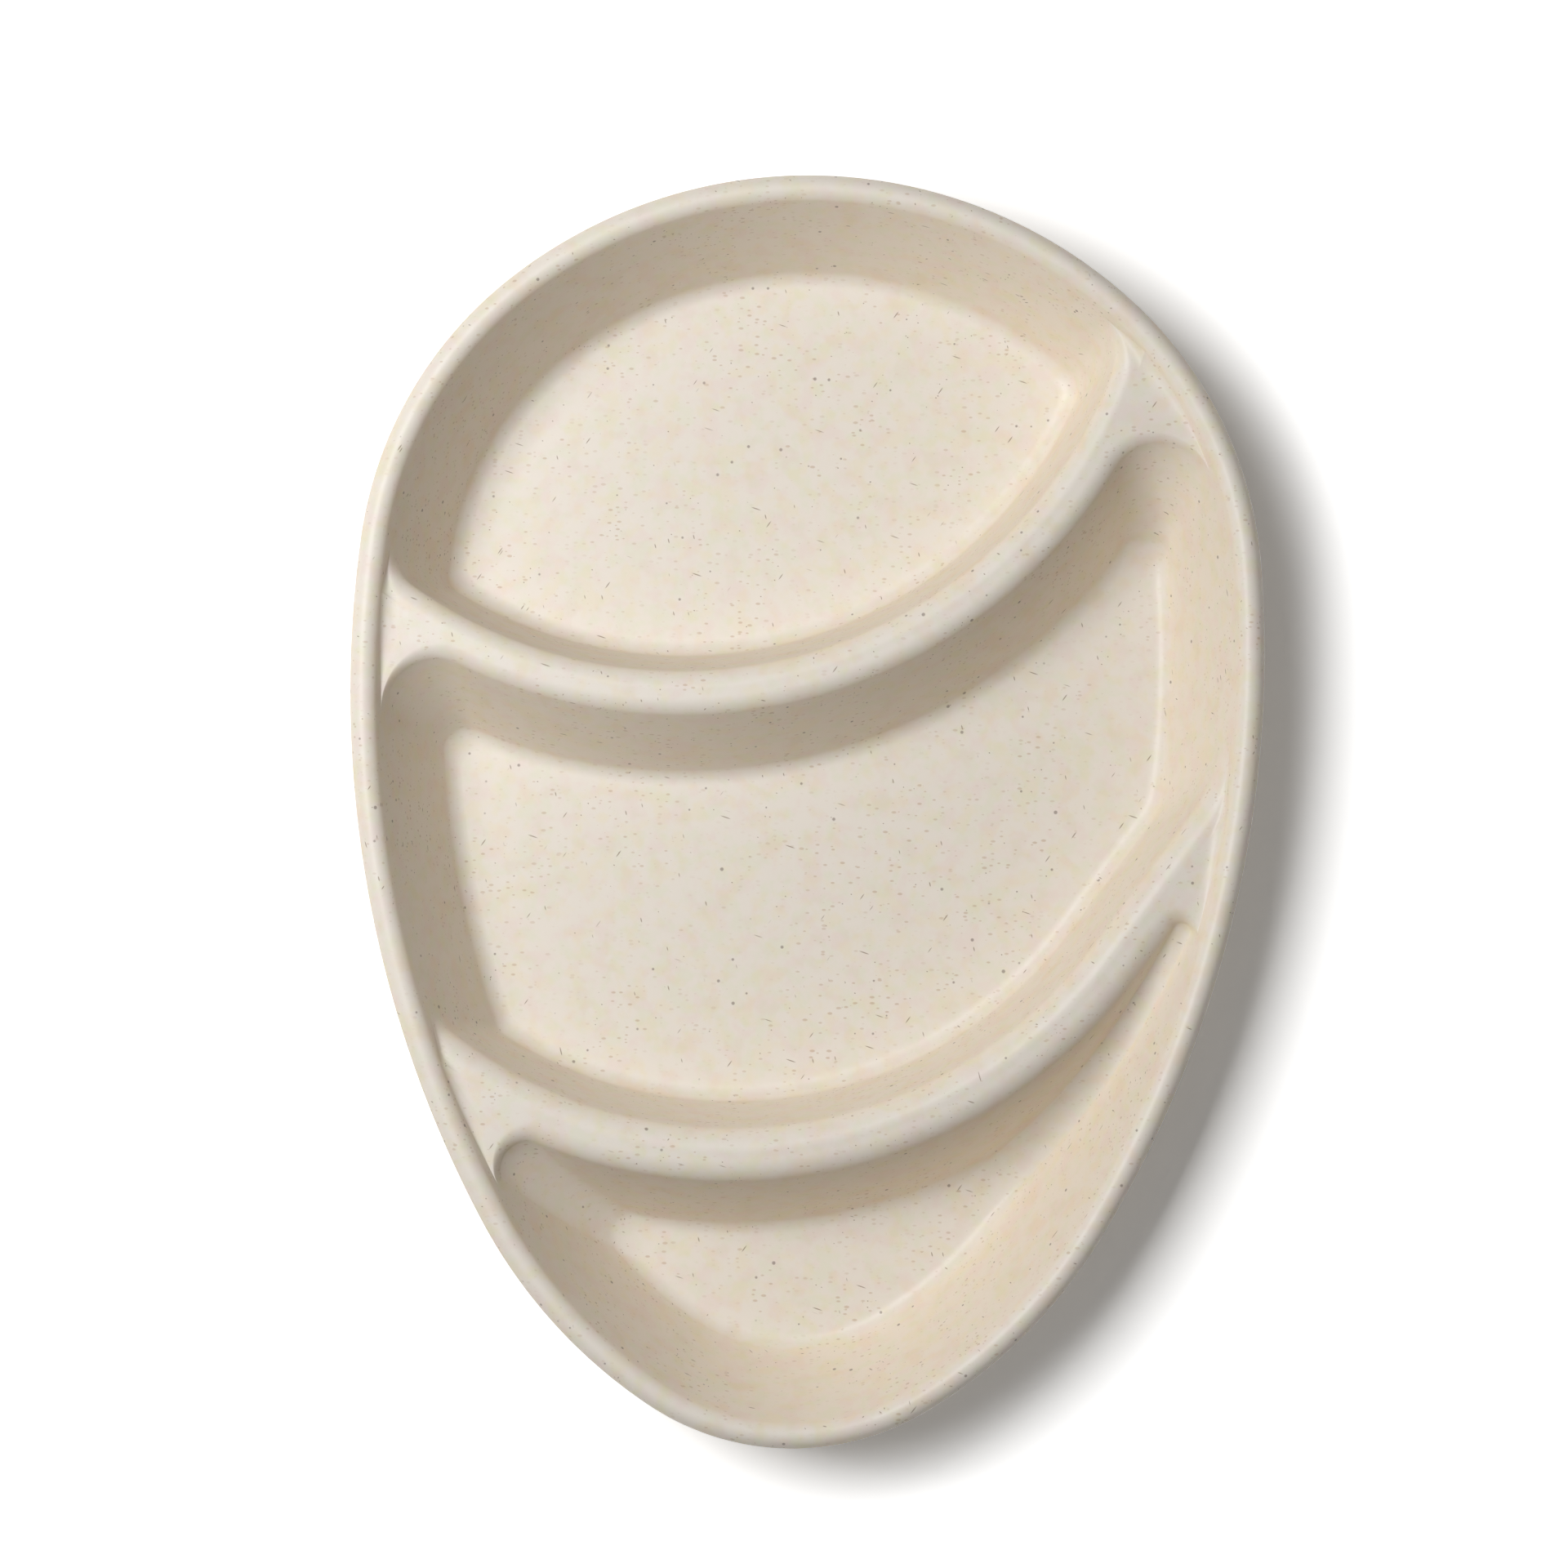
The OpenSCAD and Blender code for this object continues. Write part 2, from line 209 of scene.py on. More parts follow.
def angle_of(v):
    return math.atan2(v.y, v.x)


def arc(centre, radius, first, last, steps):
    """Points along an arc, as plan or section vectors."""
    turn = (last - first) / steps
    return [Vector(centre) + radius * polar(first + turn * i) for i in range(steps + 1)]


def circle_crossing(p, p_reach, q, q_reach):
    """The left one of the two points that lie p_reach from p and q_reach from q."""
    gap = (q - p).length
    along = (q - p) / gap
    a = (p_reach**2 - q_reach**2 + gap**2) / (2 * gap)
    return p + a * along + math.sqrt(p_reach**2 - a**2) * Vector((along.y, -along.x))


CROWN_C = Vector((0, TRAY_LENGTH / 2 - CROWN_R))
SHOULDER_C = CROWN_C + (CROWN_R - SHOULDER_R) * polar(math.pi / 2 - CROWN_ANGLE)
NOSE_C = Vector((0, NOSE_R - TRAY_LENGTH / 2))
CHEEK_C = NOSE_C - (CHEEK_R - NOSE_R) * polar(NOSE_ANGLE - math.pi / 2)
SIDE_C = circle_crossing(SHOULDER_C, SIDE_R - SHOULDER_R, CHEEK_C, SIDE_R - CHEEK_R)
HIGH_JOIN = angle_of(SHOULDER_C - SIDE_C)
LOW_JOIN = angle_of(CHEEK_C - SIDE_C)

# Arcs of the outline's right half from the tip to the blunt end, as centre, radius and angles
HALF_OUTLINE = [
    (NOSE_C, NOSE_R - CHORD_GAP, -math.pi / 2, NOSE_ANGLE - math.pi / 2),
    (CHEEK_C, CHEEK_R - CHORD_GAP, NOSE_ANGLE - math.pi / 2, LOW_JOIN),
    (SIDE_C, SIDE_R - CHORD_GAP, LOW_JOIN, HIGH_JOIN),
    (SHOULDER_C, SHOULDER_R - CHORD_GAP, HIGH_JOIN, math.pi / 2 - CROWN_ANGLE),
    (CROWN_C, CROWN_R - CHORD_GAP, math.pi / 2 - CROWN_ANGLE, math.pi / 2),
]
HALF_LENGTH = sum(radius * (last - first) for _, radius, first, last in HALF_OUTLINE)


def arc_number(q):
    """Which arc of the right half a plan point with x >= 0 lies over."""
    round_side = angle_of(q - SIDE_C)
    if round_side > HIGH_JOIN:
        return 4 if angle_of(q - CROWN_C) > math.pi / 2 - CROWN_ANGLE else 3
    if round_side < LOW_JOIN:
        return 0 if angle_of(q - NOSE_C) < NOSE_ANGLE - math.pi / 2 else 1
    return 2


def right_half(p):
    return Vector((abs(p.x), p.y))


def outline_arc(p):
    """Centre and radius of the outline's arc over a plan point."""
    centre, radius = HALF_OUTLINE[arc_number(right_half(p))][:2]
    return (Vector((-centre.x, centre.y)) if p.x < 0 else centre), radius


def depth_in(p):
    centre, radius = outline_arc(p)
    return radius - (p - centre).length


def outwards(p):
    return (p - outline_arc(p)[0]).normalized()


def outline_position(p):
    """Distance anticlockwise round the outline from its tip to a plan point."""
    q = right_half(p)
    number = arc_number(q)
    centre, radius, first, _ = HALF_OUTLINE[number]
    before = sum(r * (b - a) for _, r, a, b in HALF_OUTLINE[:number])
    distance = before + radius * (angle_of(q - centre) - first)
    return 2 * HALF_LENGTH - distance if p.x < 0 else distance


def outline_point(distance, inset):
    """Plan point at a distance round the outline and an inset from it."""
    distance %= 2 * HALF_LENGTH
    mirrored = distance > HALF_LENGTH
    left = 2 * HALF_LENGTH - distance if mirrored else distance
    number = 0
    centre, radius, first, last = HALF_OUTLINE[number]
    while left > radius * (last - first) and number < len(HALF_OUTLINE) - 1:
        left -= radius * (last - first)
        number += 1
        centre, radius, first, last = HALF_OUTLINE[number]
    p = centre + (radius - inset) * polar(first + left / radius)
    return Vector((-p.x, p.y)) if mirrored else p


class Slope:
    """Section of a pocket's side or a hollow's side: a rounded top, a leaned face, a round base.

    Its x is the run away from the ridge or the outline, and its brink is the top's lower end.
    """

    def __init__(self, start, top_r, top, lean, base, base_r):
        self.lean = lean
        self.top_r = top_r
        self.top_c = Vector((start, top - top_r))
        self.brink = self.top_c + top_r * polar(lean)
        self.base_r = base_r
        climb = self.brink.y - base - base_r
        self.base_run = self.brink.x + (base_r + climb * math.sin(lean)) / math.cos(lean)
        self.base_c = Vector((self.base_run, base + base_r))

    def face_run(self, z):
        return self.brink.x + (self.brink.y - z) * math.tan(self.lean)

    def run_at(self, z):
        """Run of the slope at a height."""
        if z > self.brink.y:
            rise = z - self.top_c.y
            return self.top_c.x + math.sqrt(max(self.top_r**2 - rise**2, 0))
        if z > self.base_c.y - self.base_r * math.sin(self.lean):
            return self.face_run(z)
        return self.base_run - math.sqrt(max(self.base_r**2 - (self.base_c.y - z) ** 2, 0))

    def base_curve(self, steps, extra_r=0):
        return arc(self.base_c, self.base_r + extra_r, 1.5 * math.pi, math.pi + self.lean, steps)

    def heights(self, base_steps, face_steps, top_steps):
        """Heights of stations from the base up to the top."""
        base = [p.y for p in self.base_curve(base_steps)]
        rise = (self.brink.y - base[-1]) / face_steps
        face = [base[-1] + rise * i for i in range(1, face_steps + 1)]
        top = [p.y for p in arc(self.top_c, self.top_r, self.lean, math.pi / 2, top_steps)[1:]]
        return base + face + top


WALL = Slope(RIM_R, RIM_R, TRAY_H, WALL_LEAN, FLOOR_Z, FILLET_R)
CREST_INSET = WALL.run_at(CREST_Z)
SADDLE_Z = CREST_Z + SADDLE_R * (1 - math.sin(WALL_LEAN))


def crest_lift(depth, radius):
    """How far a fillet between crest and wall lifts the crest, at a depth in from the outline."""
    near = CREST_INSET + radius * math.tan((math.pi / 2 - WALL_LEAN) / 2) - depth
    return radius - math.sqrt(max(radius**2 - near**2, 0)) if near > 0 else 0


class Divider:
    """Hollow ridge that follows an arc in plan and may run straight on past an angle."""

    def __init__(self, lowest, radius, crest_w, corners, straight_from=RIGHT_LIMIT):
        self.radius = radius
        self.centre = Vector(lowest) + Vector((0, radius))
        self.corners = corners
        self.straight_from = straight_from
        self.crest_r = (crest_w - CREST_LEVEL_W) / 2

    def normal_angle(self, t):
        return min(t, self.straight_from)

    def beside(self, off, t):
        """Plan point at angle t, moved off the crest line away from the curve's centre."""
        a = self.normal_angle(t)
        run_on = (t - a) * self.radius * polar(a + math.pi / 2)
        return self.centre + (self.radius + off) * polar(a) + run_on

    def reach(self, off, depth, limit):
        """Angle at which that point comes as near to the outline as depth."""
        inside, outside = LOWEST, limit
        for _ in range(SEARCH_STEPS):
            middle = (inside + outside) / 2
            if depth_in(self.beside(off, middle)) > depth:
                inside = middle
            else:
                outside = middle
        return (inside + outside) / 2

    def crest_point(self, share):
        """Point of the crest line, at a share of the way from its left end to its right one."""
        left = self.reach(0, WALL.run_at(SADDLE_Z), LEFT_LIMIT)
        right = self.reach(0, WALL.run_at(SADDLE_Z), RIGHT_LIMIT)
        return self.beside(0, left + (right - left) * share)

    def slope(self, side):
        start = CREST_LEVEL_W / 2
        return Slope(start, self.crest_r, CREST_Z, SIDE_LEAN[side], FLOOR_Z, FILLET_R)

    def hollow_slope(self, side):
        start, top_r, top = CREST_LEVEL_W / 2, self.crest_r - WALL_T, CREST_Z - WALL_T
        return Slope(start, top_r, top, SIDE_LEAN[side], FOOT_H, HOLLOW_MOUTH_R)

    def corner(self, side, end, z):
        """Plan arc between a side and the outer wall, at a height up to the side's brink."""
        slope = self.slope(side)
        brink_r, floor_r = self.corners[(side, end)]
        r = floor_r + (z - FLOOR_Z) / (slope.brink.y - FLOOR_Z) * (brink_r - floor_r)
        off = side * (slope.run_at(z) + r)
        t = self.reach(off, WALL.run_at(z) + r, LEFT_LIMIT if end == "left" else RIGHT_LIMIT)
        centre = self.beside(off, t)
        first = self.normal_angle(t) + (math.pi if side > 0 else 0)
        turn = angle_of(outwards(centre)) - first
        turn -= 2 * math.pi * round(turn / (2 * math.pi))
        return {"t": t, "centre": centre, "r": r, "first": first, "turn": turn}


def corner_arc(k, steps):
    return arc(k["centre"], k["r"], k["first"], k["first"] + k["turn"], steps)


UPPER = Divider(
    UPPER_LOWEST,
    UPPER_R,
    UPPER_CREST_W,
    {
        (BELOW, "left"): ROUND_CORNER,
        (BELOW, "right"): ROUND_CORNER,
        (ABOVE, "right"): ROUND_CORNER,
        (ABOVE, "left"): OPEN_CORNER,
    },
)
LOWER = Divider(
    LOWER_LOWEST,
    LOWER_R,
    LOWER_CREST_W,
    {
        (BELOW, "left"): SHARP_CORNER,
        (BELOW, "right"): HORN_CORNER,
        (ABOVE, "right"): SWEPT_CORNER,
        (ABOVE, "left"): OPEN_CORNER,
    },
    straight_from=LOWER_STRAIGHT_FROM,
)


class Flank:
    """One side of a divider as a pocket sees it, walked anticlockwise round the pocket."""

    def __init__(self, divider, side):
        self.divider = divider
        self.side = side
        self.slope = divider.slope(side)
        self.ends = ("left", "right") if side == ABOVE else ("right", "left")
        self.heights = self.slope.heights(FILLET_STEPS, FACE_STEPS, ROLL_STEPS)
        corners = [divider.corner(side, end, self.slope.brink.y) for end in self.ends]
        line_ends = [
            divider.reach(0, CREST_INSET, LEFT_LIMIT if end == "left" else RIGHT_LIMIT)
            for end in self.ends
        ]
        pitch = abs(line_ends[1] - line_ends[0]) / CREST_STATIONS
        # Stations that each corner takes along the crest line, along the wall and, where its arc
        # starts outside the crest line, along the side
        self.crest_n, self.wall_n, self.side_n, self.side_turns = [], [], [], []
        for end, k, t in zip(self.ends, corners, line_ends):
            inwards = 1 if end == "left" else -1
            inside = inwards * (k["t"] - t) / pitch
            self.crest_n.append(even(inside))
            self.side_n.append(2 * round((even(inside) - min(inside, even(inside))) / 2))
            self.side_turns.append(inwards * self.side_n[-1] * pitch)
            gap = abs(way_round(divider.beside(0, t), corner_arc(k, 1)[-1]))
            self.wall_n.append(even(gap / WALL_PITCH) + self.side_n[-1])
        self.flank_n = CREST_STATIONS - sum(self.crest_n)
        self.brink_points, self.aims = self.points_and_aims(self.slope.brink.y)
        n, m = self.arc_n(0), self.arc_n(1)
        middle_n = len(self.aims) - n - m
        self.ridge_shares = [smooth(i / n) for i in range(n)] + [1] * middle_n
        self.ridge_shares += [smooth(1 - i / m) for i in range(1, m + 1)]

    def corner_n(self, i):
        return self.crest_n[i] + self.wall_n[i]

    def arc_n(self, i):
        return self.corner_n(i) - self.side_n[i]

    def points_and_aims(self, z):
        """Corner, side and corner at a height, as plan points that start and end on the wall.

        Each point has the direction in which the moulding lies.
        """
        d = self.divider
        enter, leave = (d.corner(self.side, end, z) for end in self.ends)
        off = self.side * self.slope.run_at(z)
        start, end = enter["t"], leave["t"]
        stops = [start, start + self.side_turns[0], end + self.side_turns[1], end]
        angles = []
        for a, b, n in zip(stops, stops[1:], (self.side_n[0], self.flank_n, self.side_n[1])):
            angles += [a + (b - a) * i / n for i in range(1, n + 1)]
        angles.pop()
        before = corner_arc(enter, self.arc_n(0))[::-1]
        after = corner_arc(leave, self.arc_n(1))
        points = before + [d.beside(off, t) for t in angles] + after
        aims = [(p - enter["centre"]).normalized() for p in before]
        aims += [-self.side * polar(d.normal_angle(t)) for t in angles]
        aims += [(p - leave["centre"]).normalized() for p in after]
        return points, aims

    def points(self, z):
        """The points at any height. Above the brink they draw back less towards the wall."""
        brink = self.slope.brink
        if z <= brink.y:
            return self.points_and_aims(z)[0]
        ridge_move = brink.x - self.slope.run_at(z)
        wall_move = WALL.run_at(brink.y) - WALL.run_at(z)
        placed = []
        for p, aim, share in zip(self.brink_points, self.aims, self.ridge_shares):
            q = p + (wall_move + (ridge_move - wall_move) * share) * aim
            sunk = max(WALL.run_at(z) - depth_in(q), 0)
            placed.append(q - sunk * outwards(q))
        return placed

    def web_rings(self):
        """Rings from the top of the side to the crest line and the walls beyond its ends.

        Towards the wall the crest sweeps up into the bead, and less so into the corners.
        """
        top = self.points(CREST_Z)
        line = [self.divider.crest_point(i / CREST_STATIONS) for i in range(CREST_STATIONS + 1)]
        if self.side == BELOW:
            line.reverse()
        into, into_lifts = wall_line(top, line[0], self.wall_n[0])
        out, out_lifts = wall_line(top[::-1], line[-1], self.wall_n[1])
        edge = into + line + out[::-1]
        radii = [SADDLE_R * f for f in into_lifts + [1] * len(line) + out_lifts[::-1]]
        rings = []
        for n in range(1, WEB_STEPS + 1):
            share = 1 - (1 - n / WEB_STEPS) ** 2
            plan = [p.lerp(q, share) for p, q in zip(top, edge)]
            lifts = [crest_lift(depth_in(p), r) * share for p, r in zip(plan, radii)]
            rings.append([at_height(p, CREST_Z + lift) for p, lift in zip(plan, lifts)])
        return rings


def smooth(share):
    return share * share * (3 - 2 * share)


def at_height(p, z):
    return Vector((p.x, p.y, z))


def wall_line(ring, end, steps):
    """Spots along the wall from a ring's start towards the crest's end, and how far each rises.

    Each spot is level with its ring point or further on, and rises by a share of the saddle's.
    """
    spots, lifts = [], []
    for i, p in enumerate(ring[:steps]):
        share = min(max(i / steps, way_round(ring[0], p) / way_round(ring[0], end)), 1)
        lifts.append(smooth(share))
        z = CREST_Z + lifts[-1] * (SADDLE_Z - CREST_Z)
        spots.append(wall_point(ring[0], end, share, z).xy)
    return spots, lifts


def even(count):
    return 2 * max(2, round(count / 2))


def way_round(p, q):
    """Distance round the outline from p to q, the shorter way, below zero if clockwise."""
    gap = outline_position(q) - outline_position(p)
    return gap - 2 * HALF_LENGTH * round(gap / (2 * HALF_LENGTH))


def wall_point(p, q, share, z):
    """Point on the wall's face at a height, at a share of the way round from p to q."""
    distance = outline_position(p) + way_round(p, q) * share
    return at_height(outline_point(distance, WALL.run_at(z)), z)


class Pocket:
    """A pocket's skin: a grid over its floor and rings that climb from there to the crests."""

    def __init__(self, *flanks):
        self.flanks = flanks
        low, high = flanks[0], flanks[-1]
        if low is high:
            self.wall_n = [low.flank_n]
            self.rows = LENS_ROWS
            self.columns = low.flank_n + (low.corner_n(0) + low.corner_n(1)) // 2 - LENS_ROWS
            self.start = (low.corner_n(0) + LENS_ROWS) // 2
        else:
            right_n = round(SIDE_WALL_LENGTH / WALL_PITCH)
            self.start = low.corner_n(0) // 2
            self.columns = high.flank_n + (high.corner_n(0) + high.corner_n(1)) // 2
            to_high = CREST_STATIONS + sum(low.wall_n) + right_n + high.corner_n(0) // 2
            self.rows = to_high - self.start - self.columns
            self.wall_n = [right_n, self.rows - high.corner_n(1) // 2 - self.start]

    def ring(self, parts):
        """Closed ring through each side's points and the wall from each side to the next."""
        ring = []
        for i, part in enumerate(parts):
            p, q = part[-1], parts[(i + 1) % len(parts)][0]
            shares = [m / self.wall_n[i] for m in range(1, self.wall_n[i])]
            ring += part + [wall_point(p.xy, q.xy, m, p.z + (q.z - p.z) * m) for m in shares]
        return ring[self.start :] + ring[: self.start]

    def build(self, bm):
        table, loop = grid(bm, self.columns, self.rows)
        sides = ([[at_height(p, z) for p in f.points(z)] for z in f.heights] for f in self.flanks)
        rings = [self.ring(parts) for parts in zip(*sides)]
        rings += [self.ring(parts) for parts in zip(*(f.web_rings() for f in self.flanks))]
        spread(table, rings[0])
        for ring in rings[1:]:
            loop = extrude_loop(bm, loop, ring)


def grid(bm, columns, rows):
    """A new grid's vertices in rows, and its border anticlockwise from the lower left corner."""
    made = bmesh.ops.create_grid(bm, x_segments=columns, y_segments=rows, size=1)["verts"]
    made.sort(key=lambda v: (round(v.co.y * rows), round(v.co.x * columns)))
    table = [made[i : i + columns + 1] for i in range(0, len(made), columns + 1)]
    east = [row[-1] for row in table[1:-1]]
    west = [row[0] for row in table[-2:0:-1]]
    return table, table[0] + east + table[-1][::-1] + west


def spread(table, ring):
    """Spreads a grid's vertices inside a closed ring of points."""
    rows, columns = len(table) - 1, len(table[0]) - 1
    south = ring[: columns + 1]
    east = ring[columns : columns + rows + 1]
    north = ring[columns + rows : 2 * columns + rows + 1][::-1]
    west = (ring[2 * columns + rows :] + ring[:1])[::-1]
    for j, row in enumerate(table):
        v = j / rows
        for i, vert in enumerate(row):
            u = i / columns
            along = (1 - v) * south[i] + v * north[i]
            across = (1 - u) * west[j] + u * east[j]
            low = (1 - u) * south[0] + u * south[-1]
            high = (1 - u) * north[0] + u * north[-1]
            vert.co = along + across - (1 - v) * low - v * high


def extrude_loop(bm, loop, points):
    """Extrudes a closed loop of vertices to new places and returns the new loop."""
    edges = [bm.edges.get(pair) for pair in zip(loop, loop[1:] + loop[:1])]
    made = set(bmesh.ops.extrude_edge_only(bm, edges=edges)["geom"])
    following = []
    for old, point in zip(loop, points):
        new = next(e.other_vert(old) for e in old.link_edges if e.other_vert(old) in made)
        new.co = point
        following.append(new)
    return following


def rounded(p, corner, q):
    """Points round a section's corner between its neighbours p and q."""
    corner = Vector(corner)
    first = corner + (Vector(p) - corner).normalized() * FOOT_EDGE_R
    last = corner + (Vector(q) - corner).normalized() * FOOT_EDGE_R
    shares = [i / EDGE_STEPS for i in range(EDGE_STEPS + 1)]
    return [first.lerp(corner, m).lerp(corner.lerp(last, m), m) for m in shares]


def rim_and_outer_section():
    """Section from the bead's inner brink over the top, down the outer wall to the foot."""
    bead = arc(WALL.top_c, RIM_R, WALL_LEAN, math.pi, BEAD_STEPS)
    under_c = (RIM_UNDER_R, BEAD_Z + RIM_UNDER_R)
    under = arc(under_c, RIM_UNDER_R, math.pi, 1.5 * math.pi, EDGE_STEPS)
    neck = Vector((WALL.face_run(BEAD_Z) - WALL_T / math.cos(WALL_LEAN), BEAD_Z))
    belly = WALL.base_curve(OUTER_STEPS, WALL_T)[::-1]
    foot_out, foot_in = WALL.base_run, WALL.base_run + FOOT_W
    corners = [(foot_out, FOOT_H), (foot_out, 0), (foot_in, 0), (foot_in, FOOT_H)]
    bends = [belly[-2], *corners, (foot_in + FOOT_W, FOOT_H)]
    foot = [p for bend in zip(bends, bends[1:], bends[2:]) for p in rounded(*bend)]
    last = Vector((foot_in + 2 * FOOT_EDGE_R, FOOT_H))
    return bead[1:] + under + rounded(under[-1], neck, belly[0]) + belly[:-1] + foot + [last]


def extrude_rim_and_outside(bm):
    """Carries the open border up the wall, over the bead and down outside to its last loop."""
    border = {v for e in bm.edges if e.is_boundary for v in e.verts}
    loop = sorted(border, key=lambda v: outline_position(v.co.xy))
    starts = []
    for v in loop:
        inset, out = WALL.run_at(v.co.z), outwards(v.co.xy)
        starts.append((v.co.xy + inset * out, out, Vector((inset, v.co.z))))
    shares = [i / RISE_STEPS for i in range(1, RISE_STEPS + 1)]
    rise = [[start.lerp(WALL.brink, m) for *_, start in starts] for m in shares]
    rest = [[p] * len(starts) for p in rim_and_outer_section()]
    for spots in rise + rest:
        ring = [at_height(edge - p.x * out, p.y) for (edge, out, _), p in zip(starts, spots)]
        loop = extrude_loop(bm, loop, ring)
    return loop


def hollow_ring(divider, z, widen=0):
    """Ring round the hollow under a divider at a height, from beside the tip of its left end."""
    low, high = (divider.hollow_slope(side).run_at(z) + widen for side in (BELOW, ABOVE))
    middle, half_w = (low - high) / 2, (low + high) / 2
    depth = WALL.run_at(z) + HOLLOW_END + half_w - widen
    left = divider.reach(middle, depth, LEFT_LIMIT)
    right = divider.reach(middle, depth, RIGHT_LIMIT)
    angles = [left + (right - left) * i / HOLLOW_STATIONS for i in range(HOLLOW_STATIONS + 1)]
    caps = []
    for t, turned in ((right, 0), (left, math.pi)):
        centre, first = divider.beside(middle, t), divider.normal_angle(t) + turned
        caps.append(arc(centre, half_w, first, first + math.pi, HOLLOW_CAP_STEPS)[1:-1])
    ring = [divider.beside(low, t) for t in angles] + caps[0]
    ring += [divider.beside(-high, t) for t in reversed(angles)] + caps[1]
    tip = 1 - HOLLOW_CAP_STEPS // 2
    return [at_height(p, z) for p in ring[tip:] + ring[:tip]]


def build_hollow(bm, divider):
    """Hollow under a divider, drawn down from a grid over its roof; returns its last loop."""
    table, loop = grid(bm, HOLLOW_STATIONS + HOLLOW_CAP_STEPS - 2, 2)
    heights = divider.hollow_slope(ABOVE).heights(HOLLOW_STEPS, FACE_STEPS, HOLLOW_STEPS)[::-1]
    spread(table, hollow_ring(divider, heights[0]))
    rings = [hollow_ring(divider, z) for z in heights[1:]]
    for ring in rings + [hollow_ring(divider, FOOT_H, FOOT_EDGE_R)]:
        loop = extrude_loop(bm, loop, ring)
    return loop


def build_tray(finish):
    """The whole moulding as one closed skin."""
    bm = bmesh.new()
    upper_side, upper_under = Flank(UPPER, ABOVE), Flank(UPPER, BELOW)
    lower_side, lower_under = Flank(LOWER, ABOVE), Flank(LOWER, BELOW)
    for pocket in (Pocket(upper_side), Pocket(lower_side, upper_under), Pocket(lower_under)):
        pocket.build(bm)
    bmesh.ops.remove_doubles(bm, verts=bm.verts, dist=MERGE_GAP)
    loops = [extrude_rim_and_outside(bm)]
    loops += [build_hollow(bm, d) for d in (UPPER, LOWER)]
    edges = [bm.edges.get(pair) for loop in loops for pair in zip(loop, loop[1:] + loop[:1])]
    bmesh.ops.triangle_fill(bm, use_beauty=True, edges=edges, normal=(0, 0, -1))
    bmesh.ops.recalc_face_normals(bm, faces=bm.faces)
    # How far each vertex faces up, which the finish uses to paint a sheen onto level surfaces
    level = bm.verts.layers.float.new("level")
    for vert in bm.verts:
        vert.normal_update()
        vert[level] = vert.normal.z
    for face in bm.faces:
        face.smooth = True
    mesh = bpy.data.meshes.new("tray_moulding")
    bm.to_mesh(mesh)
    bm.free()
    mesh.materials.append(finish)
    tray = bpy.data.objects.new("tray_moulding", mesh)
    bpy.context.scene.collection.objects.link(tray)
    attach(tray, "root")
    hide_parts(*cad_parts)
    return tray


class Socket:
    """A shader socket that takes part in sums, each of which adds a Math node."""

    def __init__(self, shader, link):
        self.shader = shader
        self.link = link

    def math(self, operation, *values):
        settings = {"operation": operation}
        return self.shader.node("ShaderNodeMath", settings, dict(enumerate(values)))

    def __add__(self, other):
        return self.math("ADD", self, other)

    def __sub__(self, other):
        return self.math("SUBTRACT", self, other)

    def __mul__(self, other):
        return self.math("MULTIPLY", self, other)

    def __rsub__(self, other):
        return self.math("SUBTRACT", other, self)

    def __truediv__(self, other):
        return self.math("DIVIDE", self, other)

    def __rtruediv__(self, other):
        return self.math("DIVIDE", other, self)

    __radd__ = __add__
    __rmul__ = __mul__

    def ramp(self, zero, one):
        """Runs smoothly from 0 where this is at zero to 1 where it is at one."""
        ends = {"Value": self, "From Min": zero, "From Max": one}
        return self.shader.node("ShaderNodeMapRange", {"interpolation_type": "SMOOTHSTEP"}, ends)


class Shader:
    """A material's node tree."""

    def __init__(self, name):
        self.material = bpy.data.materials.new(name)
        self.material.use_nodes = True
        self.tree = self.material.node_tree
        self.tree.nodes.clear()

    def node(self, kind, settings=None, values=None, output=0):
        """Adds a node with its settings, then its sockets' values or links."""
        node = self.tree.nodes.new(kind)
        for name, setting in (settings or {}).items():
            setattr(node, name, setting)
        for name, value in (values or {}).items():
            if isinstance(value, Socket):
                self.tree.links.new(value.link, node.inputs[name])
            else:
                node.inputs[name].default_value = value
        return Socket(self, node.outputs[output]) if node.outputs else None

    def mix(self, share, first, second, blend="MIX"):
        """Mixes two colours; sockets 6, 7 and output 2 are the Mix node's colour ones."""
        settings = {"data_type": "RGBA", "blend_type": blend}
        return self.node("ShaderNodeMix", settings, {0: share, 6: first, 7: second}, 2)

    def noise(self, place, grain, detail=2):
        values = {"Vector": place, "Scale": 1 / grain, "Detail": detail}
        return self.node("ShaderNodeTexNoise", None, values)

    def cells(self, place, scale):
        """Distance to the nearest of a field of scattered points, and that point's own number."""
        values = {"Vector": place, "Scale": scale}
        distance = self.node("ShaderNodeTexVoronoi", None, values)
        colour = self.node("ShaderNodeTexVoronoi", None, values, "Color")
        return distance, self.node("ShaderNodeSeparateColor", None, {"Color": colour})

    def surface(self, shader):
        self.node("ShaderNodeOutputMaterial", None, {"Surface": shader})
        return self.material


def scattered_specks(shader, place, pitch, radius, share):
    """Specks of uneven size, on a share of the points that lie about a pitch apart."""
    distance, number = shader.cells(place, 1 / pitch)
    largest = radius / pitch
    reach = largest * (number - (1 - share)) / share
    return (distance / reach.math("MAXIMUM", reach, largest * SMALLEST_SPECK)).ramp(*SPECK_EDGE)


